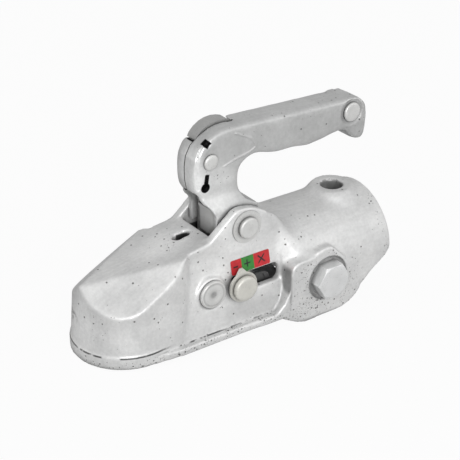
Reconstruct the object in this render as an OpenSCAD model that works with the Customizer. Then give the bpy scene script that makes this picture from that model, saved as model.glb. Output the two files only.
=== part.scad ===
/* [Ball cup] */
// Diameter of the ball the cup takes
ball_d = 50; // [48:0.5:52]
// Gap between the ball and the cup all round
ball_gap = 0.4; // [0.2:0.1:0.8]
// Thickness of the pressed sheet
sheet_t = 5.6; // [5:0.1:6]
// Radius of the nose at the flange
nose_r = 33.3; // [33:0.1:35]
// Draft of the nose, in millimetres of radius for each millimetre of height
nose_draft = 0.079; // [0.05:0.005:0.08]

/* [Shell] */
// Depth of the flange below the ball centre
flange_z = 22.4; // [21:0.2:24]
// Thickness of the flange
flange_t = 5; // [4:0.5:6]
// Half width over the flange
flange_half = 35.8; // [35:0.2:37]
// Height of the top facet over the ball centre
facet_z = 30.6; // [30.4:0.1:32]
// Rise of the top facet for each millimetre towards the rear
facet_rise = 0.17; // [0.14:0.01:0.19]
// Half width of the cheeks at the flange
cheek_low = 33.2; // [32.6:0.2:34]
// Half width over the ears
ear_half = 21.6; // [21.4:0.1:22.4]
// Height at which the leaning cheeks turn upright
knee_z = 30.5; // [28:0.5:30.5]
// Radius of the round ear top
ear_r = 26; // [25:0.2:26.4]
// Front end of the top opening
open_x0 = 53; // [52:0.5:54]
// Rear end of the top opening
open_x1 = 90.4; // [90:0.2:92]

/* [Drawbar end] */
// Diameter of the drawbar tube that goes in
drawbar_d = 60; // [60:0.1:60]
// Radial gap round the drawbar tube
drawbar_gap = 0.4; // [0.2:0.1:0.5]
// Rear end of the shell
rear_x = 182.3; // [180:0.5:188]
// Where the drawbar socket starts
socket_x = 112; // [110:0.5:114]
// Position of the upright bolt hole
boss_x = 160; // [156:0.5:164]
// Diameter of the upright bolt hole
boss_hole_d = 14.5; // [13:0.5:15]
// Radius of the pad round the upright hole
boss_r = 15; // [13:0.5:16]
// Height of the pad over the drawbar axis
boss_z = 39.3; // [38.4:0.1:40]
// Rise of the side plateaus over the drawbar end
pad_rise = 1; // [0.6:0.1:2]
// Position of the cross bolt
bolt_x = 129.2; // [127.4:0.2:131]
// Height of the cross bolt
bolt_z = -4.2; // [-6:0.2:-2]
// Thread diameter of the cross bolt
bolt_d = 14; // [12:1:14]
// Width across flats of the bolt head and nut
bolt_af = 22; // [19:1:22]

/* [Handle] */
// Position of the handle pivot along the shell
pivot_x = 75.8; // [75.4:0.1:76.2]
// Height of the handle pivot
pivot_z = 42.4; // [42.2:0.1:42.8]
// Diameter of the pivot rivet
pivot_d = 10; // [8:0.5:10]
// Half width of the grip
grip_half = 10.5; // [10:0.25:11]
// Half width over the handle legs
leg_half = 15; // [14.4:0.1:15.2]
// Thickness of the handle sheet
handle_t = 2.8; // [2.4:0.1:3]
// Distance of the drive pin from the pivot
drive_r = 24; // [23.5:0.1:24.2]
// Diameter of the drive pin
drive_d = 6.4; // [5.6:0.2:6.6]
// Full lift of the handle in degrees
lift = 34; // [28:1:34]

/* [Jaw and slider] */
// Position of the jaw rivet along the shell
jaw_x = 46; // [46:0.1:46.4]
// Height of the jaw rivet
jaw_z = 8; // [7.8:0.1:8.2]
// Diameter of the jaw rivet
jaw_d = 10; // [8:0.5:10]
// Half width of the jaw
jaw_half = 10; // [8:0.5:10.5]
// Half width of the slider
slider_half = 9.5; // [8.5:0.25:9.5]
// Position of the indicator pin along the shell
ind_x = 67.2; // [66.8:0.1:67.6]
// Height of the indicator pin
ind_z = 7.2; // [7:0.1:7.6]
// Diameter of the indicator pin where it crosses the slot
ind_d = 10.4; // [9:0.2:10.6]
// Diameter of the indicator pin inside the shell
ind_in_d = 8; // [6:0.5:8]
// Height of the side slot
slot_h = 11; // [11:0.1:11.6]
// Front end of the side slot
slot_x0 = 61.6; // [60:0.2:61.8]
// Rear end of the side slot
slot_x1 = 97.4; // [95:0.2:97.4]
// Position of the wear scale along the shell
label_x = 76.8; // [76:0.2:77.4]
// Height of the middle of the wear scale
label_z = 18.4; // [18.4:0.2:19.4]
// Width of the wear scale
label_w = 29; // [26:0.5:30]
// Height of the wear scale
label_h = 9.2; // [8:0.2:9.2]

/* [Fits] */
// Gap between each handle leg and the ear beside it
ear_gap = 0.8; // [0.6:0.1:1.2]
// Radial running fit on pins
run_fit = 0.05; // [0.03:0.01:0.08]
// Gap between sliding pieces
slide_gap = 0.3; // [0.3:0.05:0.35]

/* [Hidden] */
$fn = 96;
e = 0.01;
far = 200;
cup_r = ball_d / 2 + ball_gap;
bore_r = drawbar_d / 2 + drawbar_gap;
tube_r = bore_r + sheet_t;
pad_half = tube_r + pad_rise;
// Half width of the opening between the ears
open_half = leg_half + ear_gap;
// The drawbar is gripped behind the cross bolt, and the socket is eased in front of it
grip_x = bolt_x + bolt_d / 2 + 1;
ease = 0.6;
lean = (cheek_low - ear_half) / (knee_z + flange_z);
lean_a = atan(lean);
nose_h = 70;
nose_top_r = nose_r - nose_draft * nose_h;
// Where the cheeks start to widen to the drawbar tube
shoulder_x = slot_x1 + 2;
shoulder_z = 37;
// Slope of the ears' top edge behind the pivot
tail_a = 30;
function cheek_y(z) = cheek_low - lean * (z + flange_z);
function facet_at(x) = facet_z + facet_rise * x;
swing = lift / 2;
drive_x = pivot_x - drive_r * sin(swing);
drive_z = pivot_z - drive_r * cos(swing);
drive_low = pivot_z - drive_r;
// Nose skirt: the sheared rim round the front
skirt_r = nose_r + 0.2;
skirt_h = 8;
// Nose sides run straight to here and then round off into the cheeks
side_x = 14;
// Slanted facet on each side of the nose: direction and distance from the ball centre
shield_n = [-0.372, 0.588, 0.718];
shield_d = cup_r + 4.1;
// Lower and rear edge of the shell seen from the side
low_edge = [
    [93, -22.4], [104.3, -28.6], [111.1, -30.8], [134.2, -30.6], [142.1, -29.9], [148.6, -27.6],
    [153.4, -24.4], [156.3, -20.8], [167.1, -11.4], [175.4, -5.8], [178.8, -3.1], [181.4, 0.4]];
// Outline of the raised side plateau
pad_edge = [
    [84, -17.4], [88.5, -18], [95, -12], [99.2, -4], [99.9, 8.6], [101.4, 12.2], [104.4, 13.8],
    [114.5, 15.4], [125.6, 17.8], [129.4, 18], [132.4, 17], [141.6, 7.8], [152.4, -6.6],
    [156.1, -14], [156.6, -20.8], [152, -32]];
// Side view of the upper handle, from the front of the neck over the grip and back
grip_edge = [
    [52.6, 58], [50.4, 61.8], [46.9, 67.6], [45.7, 74], [45.6, 82], [46.6, 89], [50, 95.2],
    [55.6, 99.4], [62.4, 102.8], [67, 104], [72, 104.3], [80, 104], [100, 103.2], [138, 101.9],
    [165, 101], [171, 100.2], [174.8, 98.2], [178, 94.6],
    [179, 87.9], [178.6, 80], [177.4, 73.4], [175.4, 71.4], [172.3, 71.2], [168.6, 72.6],
    [165.6, 75.5], [162.8, 79], [158.8, 80.8], [151, 80], [143.6, 78.4], [131.1, 77], [119.9, 78.8],
    [108.9, 78.6], [101, 80], [94.5, 82], [89.5, 82.4], [85.1, 81], [81.4, 79], [79.2, 76.3],
    [78, 72], [78.1, 66], [79.2, 59.5]];
// Side view of a leg above the pivot, up to where it has narrowed to the neck
leg_edge = [
    [58.2, 38], [58.2, 50.9], [55.6, 55.6], [52, 60], [50, 65.6], [78.1, 65.6], [79, 60.4],
    [81.2, 57], [84.6, 54.6], [89.4, 52], [90, 47], [88.6, 42]];
// Heights between which the legs narrow to the neck
flare_low = 50.4;
flare_top = 65.4;
function flare_t(z) = min(1, max(0, (z - flare_low) / (flare_top - flare_low)));
function flare_y(z) =
    grip_half + (leg_half - grip_half) * (0.5 + 0.5 * cos(180 * flare_t(z)));
front_rivet = [57.3, 85.9];
end_rivet = [165.8, 91.8];
pivot = [pivot_x, pivot_z];
ear_c = [pivot_x - 3.1, pivot_z - 13.5];
cross = [bolt_x, bolt_z];
dish_r = bolt_af / sqrt(3) + 2.3;
dish_t = 2.2;
bolt_head = 8.8;
washer_t = 2.5;
nut_t = 12;
sleeve_r = 8;
bush_r = 6.6;
rivet_pad_r = 10.4;
jaw_pad_y = 27.3;
pivot_washer_t = 0.8;
stop_t = 3;
catch_y0 = 4.4;
catch_y1 = 7.2;
leg_t = 3.2;
pin_head_t = 3.2;
// Thumb pad at the top of the catch
thumb_y0 = 0.8;
thumb_y1 = 9.8;
thumb_x0 = 52.8;
thumb_x1 = 82.6;
thumb_z = 96.2;
// Plate and head of the indicator pin, clear of the leaning cheek
plate_r = 10;
plate_t = 1.5;
head_t = 4.1;
plate_y = cheek_y(ind_z - plate_r) + slide_gap + 0.2;
steel = [0.74, 0.75, 0.76];

// A side view drawn in X and Z, made solid between two Y positions
module slab(y0, y1) {
    translate([0, y1, 0])
        rotate([90, 0, 0])
            linear_extrude(y1 - y0)
                children();
}

// A cross section drawn in Y and Z, made solid between two X positions
module section(x0, x1) {
    translate([x0, 0, 0])
        rotate([90, 0, 90])
            linear_extrude(x1 - x0)
                children();
}

// A pin along Y
module pin_y(p, r, y0, y1) {
    translate([p[0], y1, p[1]])
        rotate([90, 0, 0])
            cylinder(r = r, h = y1 - y0);
}

// A ring along Y
module ring_y(p, r, hole, y0, y1) {
    difference() {
        pin_y(p, r, y0, y1);
        pin_y(p, hole, y0 - 1, y1 + 1);
    }
}

// Two discs and the straight flanks that touch both
module link(p, r, q, s) {
    d = norm(q - p);
    u = (q - p) / d;
    n = [-u[1], u[0]];
    k = (r - s) / d;
    h = sqrt(1 - k * k);
    polygon([
        p + r * (k * u + h * n), q + s * (k * u + h * n),
        q + s * (k * u - h * n), p + r * (k * u - h * n)]);
    translate(p) circle(r = r);
    translate(q) circle(r = s);
}

// Rounded rectangle, drawn exactly
module round_rect(x0, x1, z0, z1, r) {
    translate([x0 + r, z0]) square([x1 - x0 - 2 * r, z1 - z0]);
    translate([x0, z0 + r]) square([x1 - x0, z1 - z0 - 2 * r]);
    for (x = [x0 + r, x1 - r], z = [z0 + r, z1 - r])
        translate([x, z]) circle(r = r);
}

// A wire coil about an axis along Y, with a straight tail at each end
module coil(p, r, wire, y0, y1, turns, tail_a, tail_b) {
    steps = turns * 20;
    sides = 8;
    mid = [for (i = [0:steps])
        let (a = 360 * turns * i / steps + tail_a[0])
        [p[0] + r * cos(a), y0 + (y1 - y0) * i / steps, p[1] + r * sin(a)]];
    a1 = 360 * turns + tail_a[0];
    start = mid[0] + tail_a[1] * [sin(tail_a[0]), 0, -cos(tail_a[0])];
    end = mid[steps] + tail_b * [-sin(a1), 0, cos(a1)];
    path = concat([start], mid, [end]);
    n = len(path);
    rings = [for (i = [0:n - 1])
        let (
            t0 = path[min(i + 1, n - 1)] - path[max(i - 1, 0)],
            t = t0 / norm(t0),
            s0 = cross(t, [0, 1, 0]),
            s = s0 / norm(s0),
            w = cross(s, t))
        for (k = [0:sides - 1])
            path[i] + wire * (cos(360 * k / sides) * s + sin(360 * k / sides) * w)];
    skin = [for (i = [0:n - 2], k = [0:sides - 1])
        let (m = (k + 1) % sides)
        [i * sides + k, i * sides + m, (i + 1) * sides + m, (i + 1) * sides + k]];
    polyhedron(rings, concat(
        [[for (k = [sides - 1:-1:0]) k]],
        skin,
        [[for (k = [0:sides - 1]) (n - 1) * sides + k]]));
}

// Hexagon prism along Y with a point towards each end of the shell
module hex_y(p, af, y0, y1) {
    translate([p[0], y1, p[1]])
        rotate([90, 0, 0])
            cylinder(r = af / sqrt(3), h = y1 - y0, $fn = 6);
}

// Half of the cheek cross section, outside or inside
module cheek(inset, low, high) {
    polygon([
        [-cheek_y(low) + inset, low], [-ear_half + inset, knee_z], [-ear_half + inset, high],
        [ear_half - inset, high], [ear_half - inset, knee_z], [cheek_y(low) - inset, low]]);
}

// Everything on the far side of a slanted plane through the nose
module shield_cut(side) {
    n = [shield_n[0], side * shield_n[1], shield_n[2]];
    az = atan2(n[1], n[0]);
    el = acos(n[2] / norm(n));
    rotate([0, el, az])
        translate([-60, -60, shield_d])
            cube([120, 120, 60]);
}

// Nose, cheeks and ears before they are hollowed
module front_outer() {
    tail = ear_c + (ear_r - e) * [sin(tail_a), cos(tail_a)];
    foot = ear_c[0] - ear_r + 2.6;
    difference() {
        intersection() {
            union() {
                for (x = [0, side_x])
                    translate([x, 0, -flange_z])
                        cylinder(r1 = nose_r, r2 = nose_top_r, h = nose_h);
                section(0, side_x)
                    polygon([
                        [-nose_r, -flange_z], [-nose_top_r, nose_h - flange_z],
                        [nose_top_r, nose_h - flange_z], [nose_r, -flange_z]]);
                section(0, shoulder_x)
                    cheek(0, -flange_z, 60);
            }
            slab(-50, 50)
                union() {
                    polygon([
                        [-50, -flange_z], [-50, facet_at(-50)], [foot, facet_at(foot)], ear_c,
                        tail, [shoulder_x, tail[1] - (shoulder_x - tail[0]) * tan(tail_a)],
                        [shoulder_x, -flange_z]]);
                    translate(ear_c) circle(r = ear_r);
                }
        }
        shield_cut(-1);
        shield_cut(1);
    }
}

// Flange round the open underside
module flange() {
    translate([0, 0, -flange_z])
        cylinder(r = skirt_r, h = skirt_h);
    translate([0, 0, -flange_z])
        linear_extrude(flange_t)
            polygon([
                [-6, -skirt_r + 0.6], [20, -flange_half], [62, -flange_half],
                [88, -pad_half], [shoulder_x, -pad_half], [shoulder_x, pad_half],
                [88, pad_half], [62, flange_half], [20, flange_half], [-6, skirt_r - 0.6]]);
}

// Round drawbar end with straight sides below the axis
module tube_outer() {
    section(socket_x, rear_x) {
        circle(r = tube_r, $fn = 128);
        translate([-tube_r, -34]) square([2 * tube_r, 34]);
    }
    hull() {
        section(shoulder_x - 0.1, shoulder_x)
            cheek(0, -flange_z, shoulder_z);
        section(socket_x, socket_x + 0.1) {
            circle(r = tube_r, $fn = 40);
            translate([-tube_r, -32]) square([2 * tube_r, 32]);
        }
    }
}

// Ends of the ears, running out on the drawbar end
module ear_tails() {
    tail = ear_c + ear_r * [sin(tail_a), cos(tail_a)];
    z = tail[1] - (shoulder_x - tail[0]) * tan(tail_a);
    for (y = [-ear_half, open_half])
        slab(y, y + ear_half - open_half)
            polygon([
                [shoulder_x - 3, 28], [shoulder_x - 3, z], [shoulder_x, z],
                [shoulder_x + 3.4, z - 4.4], [shoulder_x + 8, z - 11.8], [shoulder_x + 8, 28]]);
}

// Raised plateau for the cross bolt, through both sides
module plateau() {
    slab(-pad_half, pad_half)
        polygon(concat(pad_edge, [[93, -32], [84, -flange_z]]));
}

// Round above the axis and straight down to the open underside
module socket_shape(r) {
    circle(r = r, $fn = 128);
    translate([-r, -60]) square([2 * r, 60]);
}

// Room for the ball, the jaw, the slider and the drawbar
module hollow() {
    sphere(r = cup_r, $fn = 128);
    translate([0, 0, -40])
        cylinder(r = cup_r, h = 40, $fn = 128);
    intersection() {
        section(14, socket_x + e)
            cheek(sheet_t, -45, 60);
        slab(-50, 50)
            polygon([
                [10, -45], [10, 12], [26, facet_at(26) - sheet_t],
                [open_x0 + 2, facet_at(open_x0 + 2) - sheet_t], [88, 33], [104, 30], [120, 24],
                [120, -45]]);
    }
    translate([open_x0, -open_half, 0])
        cube([open_x1 - open_x0, 2 * open_half, 80]);
    // The web in front of the opening stays level between the ears
    slab(-open_half, open_half)
        polygon([
            [40, facet_at(40)], [open_x0 + 1, facet_at(open_x0 + 1)], [open_x0 + 1, 80],
            [40, 80]]);
    // Behind the opening the roof lies level between the ears
    slab(-open_half, open_half)
        polygon([
            [open_x1 - 1, shoulder_z], [shoulder_x + 12, shoulder_z], [shoulder_x + 12, 80],
            [open_x1 - 1, 80]]);
    section(grip_x - 1, far)
        socket_shape(bore_r);
    section(socket_x, grip_x)
        socket_shape(bore_r + ease);
}

module housing() {
    color(steel)
    difference() {
        intersection() {
            union() {
                front_outer();
                flange();
                tube_outer();
                ear_tails();
                plateau();
                translate([boss_x, 0, 20])
                    cylinder(r = boss_r + 6, h = 8);
                translate([boss_x, 0, 28])
                    cylinder(r1 = boss_r + 6, r2 = boss_r - 0.6, h = boss_z - 28);
                for (s = [-1, 1])
                    pin_y([jaw_x, jaw_z], rivet_pad_r, s > 0 ? 16 : -jaw_pad_y,
                        s > 0 ? jaw_pad_y : -16);
            }
            slab(-60, 60)
                polygon(concat(
                    [[-50, 80], [-50, -flange_z]], low_edge, [[rear_x, 6.3], [rear_x, 80]]));
        }
        hollow();
        // Flat seats for the jaw rivet
        pin_y([jaw_x, jaw_z], rivet_pad_r, -60, -jaw_pad_y);
        pin_y([jaw_x, jaw_z], rivet_pad_r, jaw_pad_y, 60);
        pin_y([jaw_x, jaw_z], jaw_d / 2 + run_fit, -60, 60);
        pin_y(pivot, pivot_d / 2 + run_fit, -60, 60);
        // Slot the indicator runs in
        slab(-60, -slider_half)
            round_rect(slot_x0, slot_x1, ind_z - slot_h / 2, ind_z + slot_h / 2, 3);
        // Inspection hole in the top facet
        for (x = [39.1, 45.5])
            translate([x, 0, 20]) cylinder(r = 3, h = 40);
        translate([39.1, -3, 20]) cube([6.4, 6, 40]);
        // Upright bolt hole with an eased mouth
        translate([boss_x, 0, 0])
            cylinder(r = boss_hole_d / 2, h = 60);
        translate([boss_x, 0, boss_z - 0.6])
            cylinder(r1 = boss_hole_d / 2, r2 = boss_hole_d / 2 + 0.7, h = 0.6 + e);
        // Cross bolt hole and the dish its head sits in
        pin_y(cross, bolt_d / 2 + 0.25, -60, 60);
        pin_y(cross, dish_r, -60, -pad_half + dish_t);
    }
}

// Rivet with a shank and two flat heads
module rivet(p, d, head_r, y, head_t) {
    pin_y(p, d / 2, -y, y);
    for (s = [-1, 1])
        pin_y(p, head_r, s > 0 ? y : -y - head_t, s > 0 ? y + head_t : -y);
}

module pivot_rivet() {
    color([0.78, 0.78, 0.77])
        rivet(pivot, pivot_d, 6.9, ear_half + pivot_washer_t, pin_head_t);
}

module pivot_washer(side) {
    a = ear_half;
    b = ear_half + pivot_washer_t;
    color([0.8, 0.8, 0.79])
        ring_y(pivot, 10.5, pivot_d / 2 + run_fit, side > 0 ? a : -b, side > 0 ? b : -a);
}

module pivot_washer_near() {
    pivot_washer(-1);
}

module pivot_washer_far() {
    pivot_washer(1);
}

module jaw_rivet() {
    color([0.76, 0.76, 0.75])
    difference() {
        rivet([jaw_x, jaw_z], jaw_d, 9.2, jaw_pad_y, 2.8);
        for (s = [-1, 1])
            translate([jaw_x, s * (jaw_pad_y + 2.8 + 9.6), jaw_z]) sphere(r = 10);
    }
}

module wear_label() {
    color([0.75, 0.16, 0.18])
    translate([label_x, -cheek_y(label_z), label_z])
        rotate([-lean_a, 0, 0])
            slab(-0.3, 0)
                round_rect(-label_w / 2, label_w / 2, -label_h / 2, label_h / 2, 1);
}

module cross_bolt() {
    seat = -pad_half + dish_t;
    color([0.7, 0.71, 0.72]) {
        difference() {
            hex_y(cross, bolt_af, seat - bolt_head, seat);
            translate([bolt_x, seat - bolt_head, bolt_z])
                rotate([90, 0, 0])
                    translate([0, 0, -1.2])
                        difference() {
                            cylinder(r = 16, h = 3);
                            translate([0, 0, -e])
                                cylinder(r1 = 13.2, r2 = 10.6, h = 1.3);
                        }
        }
        pin_y(cross, bolt_d / 2, seat, pad_half + washer_t + nut_t + 3);
    }
}

module cross_washer() {
    color([0.78, 0.78, 0.77])
        ring_y(cross, bolt_d, bolt_d / 2 + 0.25, pad_half, pad_half + washer_t);
}

module cross_nut() {
    y0 = pad_half + washer_t;
    color([0.72, 0.72, 0.73])
    difference() {
        hex_y(cross, bolt_af, y0, y0 + nut_t);
        pin_y(cross, bolt_d / 2 + run_fit, y0 - 1, y0 + nut_t + 1);
    }
}

// Plate the drawbar butts against
module drawbar_stop() {
    color([0.6, 0.61, 0.62])
    difference() {
        section(socket_x, socket_x + stop_t)
            intersection() {
                circle(r = bore_r + ease - 0.05, $fn = 128);
                translate([-40, -20]) square([80, 60]);
            }
        section(socket_x - 1, socket_x + stop_t + 1)
            circle(r = 9);
    }
}

// Front view of the legs and the neck they narrow to, or of the room between them
module flare(inset) {
    steps = 12;
    top = flare_top + 2;
    side = [for (i = [0:steps])
        let (z = flare_low + (top - flare_low) * i / steps) [flare_y(z) - inset, z]];
    polygon(concat(
        [[-flare_y(0) + inset, -1], [flare_y(0) - inset, -1]], side,
        [for (i = [steps:-1:0]) [-side[i][0], side[i][1]]]));
}

// Side view of one handle leg
module leg_side() {
    link(pivot, 11.6, [drive_x, drive_z], 5.4);
    polygon(concat(leg_edge, [pivot]));
}

module handle_shell() {
    inner = grip_half - handle_t;
    color([0.66, 0.67, 0.68])
    difference() {
        union() {
            slab(-grip_half, grip_half)
                polygon(grip_edge);
            intersection() {
                slab(-leg_half, leg_half)
                    leg_side();
                section(40, 100)
                    flare(0);
            }
        }
        // Inside of the head and neck
        slab(-inner, inner)
            polygon([
                [50.4, 56], [49, 67], [48.6, 82], [49.8, 88], [53, 93.4], [58, 97.2],
                [64, 100.2], [70, 101.4], [80, 101.1], [84, 98], [84, 85.6], [76, 80], [74.6, 56]]);
        // Inside of the grip
        slab(-inner, inner)
            polygon([
                [83, 85.6], [90, 86], [108, 82], [120, 82.2], [131, 80.4], [143.6, 81.8],
                [158, 84.4], [158, 98.4], [83, 100.9]]);
        // Between the legs, open in front and behind
        intersection() {
            slab(-leg_half, leg_half)
                polygon([
                    [40, 0], [40, 56], [49.4, 66.6], [74.8, 66.6], [75.6, 60], [79, 55.4],
                    [86, 51.4], [100, 49.6], [100, 0]]);
            section(39, 101)
                flare(leg_t);
        }
        pin_y(pivot, sleeve_r + run_fit, -20, 20);
        pin_y([drive_x, drive_z], drive_d / 2 + run_fit, -20, 20);
        pin_y(front_rivet, 3.2 + run_fit, -20, 20);
        pin_y(end_rivet, 3.2 + run_fit, -20, 20);
        // Dishes round the end rivet
        pin_y(end_rivet, 8.7, -20, -grip_half + 1);
        pin_y(end_rivet, 8.7, grip_half - 1, 20);
        // Square window and keyhole on the near side
        slab(-20, -grip_half + handle_t + 0.4) {
            translate([51.6, 95.8]) rotate(-8) square([5.4, 5.4]);
            translate([53.6, 69.9]) circle(r = 3.3);
            polygon([[52.6, 70], [54.8, 70], [56, 77.8], [53.8, 77.8]]);
        }
        // Slot the thumb catch comes out of, with a narrow end towards the grip
        translate([thumb_x0, thumb_y0 - slide_gap, thumb_z])
            cube([thumb_x1 - thumb_x0, 20, 20]);
        translate([thumb_x1 - 7, thumb_y0 - 1.5, thumb_z])
            cube([7, 3, 20]);
    }
}

module handle_front_rivet() {
    color([0.78, 0.78, 0.77])
        rivet(front_rivet, 6.4, 5.1, grip_half, 1.8);
}

module handle_end_rivet() {
    color([0.78, 0.78, 0.77])
        rivet(end_rivet, 6.4, 6.5, grip_half - 1, 2);
}

module pivot_sleeve() {
    color([0.62, 0.63, 0.64])
        ring_y(pivot, sleeve_r, pivot_d / 2 + run_fit, -leg_half, leg_half);
}

module drive_pin() {
    color([0.7, 0.7, 0.7])
        pin_y([drive_x, drive_z], drive_d / 2, -leg_half, leg_half);
}

module handle_spring() {
    color([0.4, 0.41, 0.42])
        coil(pivot, sleeve_r + 1.6, 1.15, -8, 8, 5.5, [20, 4], 12);
}

module safety_catch() {
    p = front_rivet;
    color([0.7, 0.7, 0.68])
    difference() {
        union() {
            slab(catch_y0, catch_y1)
                union() {
                    translate(p) circle(r = 6);
                    polygon([
                        [p[0] - 4.2, p[1] - 1], [57.2, 97.4], [60.6, 101.2], [66, 103], [72, 103.4],
                        [71, 100.4], [66, 95.4], [p[0] + 4.8, p[1] - 1], [62, 70], [57, 68],
                        [53, 72]]);
                }
            slab(thumb_y0, thumb_y1)
                polygon([
                    [54.2, 96.6], [55.4, 99], [58.4, 102], [62.4, 104.4], [66.5, 105.7],
                    [71, 106], [75, 105.4], [78.2, 104.4], [79.6, 103.4], [78.6, 102.4], [72, 102.9],
                    [67, 102.4], [62.6, 100.6], [59, 97.4]]);
        }
        pin_y(p, 3.2 + 2 * run_fit, 0, 12);
    }
}

module catch_spring() {
    color([0.4, 0.41, 0.42])
        coil(front_rivet, 4.7, 0.8, -3.6, 3.4, 3.5, [200, 4], 6);
}

module slider() {
    h = slider_half;
    slot = drive_d / 2 + slide_gap;
    floor_z = drive_low - drive_d / 2 - 0.4;
    color([0.55, 0.56, 0.57])
    difference() {
        slab(-h, h)
            polygon([
                [jaw_x - 2 + slide_gap, -14], [jaw_x - 2 + slide_gap, jaw_z - 9.1],
                [jaw_x + 10, jaw_z - 9.1], [58, 13],
                [60.6, 24], [77, 24], [84, 13], [84, -8], [78, -14]]);
        translate([drive_x - slot, -20, floor_z])
            cube([2 * slot, 40, 30]);
        pin_y([ind_x, ind_z], ind_in_d / 2 + run_fit, -20, 20);
    }
}

module indicator_pin() {
    p = [ind_x, ind_z];
    color([0.78, 0.76, 0.66]) {
        pin_y(p, 8.2, -plate_y - plate_t - head_t, -plate_y - plate_t);
        pin_y(p, ind_d / 2, -plate_y - plate_t, -17.5);
        pin_y(p, ind_in_d / 2, -17.5, slider_half + 2);
    }
}

module pointer_plate() {
    color([0.72, 0.71, 0.66])
    difference() {
        union() {
            pin_y([ind_x, ind_z], plate_r, -plate_y - plate_t, -plate_y);
            slab(-plate_y - plate_t, -plate_y)
                polygon([
                    [ind_x - 2, ind_z - 6.5], [ind_x - 9.4, ind_z + 1.4],
                    [ind_x - 2.6, ind_z + 13], [ind_x - 0.4, ind_z + 13],
                    [ind_x + 8.6, ind_z + 3], [ind_x + 2, ind_z - 6.5]]);
        }
        pin_y([ind_x, ind_z], ind_d / 2 + run_fit, -40, -20);
    }
}

module pin_retainer() {
    color([0.5, 0.5, 0.5])
        ring_y([ind_x, ind_z], 6, ind_in_d / 2 + run_fit, slider_half, slider_half + 1.8);
}

module jaw() {
    p = [jaw_x, jaw_z];
    color([0.6, 0.6, 0.6])
    difference() {
        slab(-jaw_half, jaw_half)
            union() {
                translate(p) circle(r = 7.5 + 1.2);
                polygon([
                    [jaw_x - 1, jaw_z + 8.6], [38, 16], [24, 6], [20, -15.5], [27, -17.6],
                    [36, -16.4], [jaw_x - 2, -13.6], [jaw_x - 2, 1], [jaw_x + 2, jaw_z]]);
            }
        sphere(r = cup_r + 0.2, $fn = 128);
        pin_y(p, bush_r + run_fit, -20, 20);
    }
}

module jaw_bush() {
    color([0.66, 0.6, 0.45])
        ring_y([jaw_x, jaw_z], bush_r, jaw_d / 2 + run_fit, -jaw_half, jaw_half);
}

module jaw_spring() {
    color([0.4, 0.41, 0.42])
        coil([jaw_x, jaw_z], 6.6, 1, jaw_half + 1.4, jaw_half + 7, 2.5, [150, 4], 8);
}

housing();
pivot_rivet();
pivot_washer_near();
pivot_washer_far();
jaw_rivet();
wear_label();
cross_bolt();
cross_washer();
cross_nut();
drawbar_stop();
handle_shell();
handle_front_rivet();
handle_end_rivet();
pivot_sleeve();
drive_pin();
handle_spring();
safety_catch();
catch_spring();
slider();
indicator_pin();
pointer_plate();
pin_retainer();
jaw();
jaw_bush();
jaw_spring();
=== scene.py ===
import math
import bpy
import bmesh
from mathutils import Matrix, Vector


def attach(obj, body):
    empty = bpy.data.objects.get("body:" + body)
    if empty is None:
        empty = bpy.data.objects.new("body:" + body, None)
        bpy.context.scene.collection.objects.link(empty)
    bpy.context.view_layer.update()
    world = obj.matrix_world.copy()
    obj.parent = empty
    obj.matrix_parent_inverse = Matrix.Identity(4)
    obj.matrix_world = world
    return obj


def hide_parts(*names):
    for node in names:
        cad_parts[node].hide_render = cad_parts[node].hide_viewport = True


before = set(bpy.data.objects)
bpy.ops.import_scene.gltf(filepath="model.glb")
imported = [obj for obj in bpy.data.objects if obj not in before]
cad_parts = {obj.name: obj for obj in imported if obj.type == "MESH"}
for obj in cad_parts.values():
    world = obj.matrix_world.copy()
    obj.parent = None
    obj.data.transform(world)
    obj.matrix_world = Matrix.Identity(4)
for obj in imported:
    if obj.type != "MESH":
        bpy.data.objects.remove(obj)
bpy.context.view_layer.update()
scene = bpy.context.scene
scene.view_settings.view_transform = "Standard"
mm = 0.001
print("frame loaded")


# camera, placed where the photograph was taken from
cameraSettings = {
    "place": (-338.4, -587.4, 410.6),
    "right": (0.8152, -0.5791, 0.0),
    "back": (-0.5120, -0.7210, 0.4675),
    "lens": 102.12, "sensor": 36.0, "near": 0.05, "far": 20.0,
}


def addCamera():
    data = bpy.data.cameras.new("photoCamera")
    data.lens = cameraSettings["lens"]
    data.sensor_width = cameraSettings["sensor"]
    data.clip_start = cameraSettings["near"]
    data.clip_end = cameraSettings["far"]
    camera = bpy.data.objects.new("photoCamera", data)
    scene.collection.objects.link(camera)
    back = Vector(cameraSettings["back"]).normalized()
    right = Vector(cameraSettings["right"])
    right = (right - right.dot(back) * back).normalized()
    up = back.cross(right)
    turn = Matrix((right, up, back)).transposed().to_4x4()
    camera.matrix_world = Matrix.Translation(Vector(cameraSettings["place"]) * mm) @ turn
    scene.camera = camera


addCamera()
print("camera set")


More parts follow.
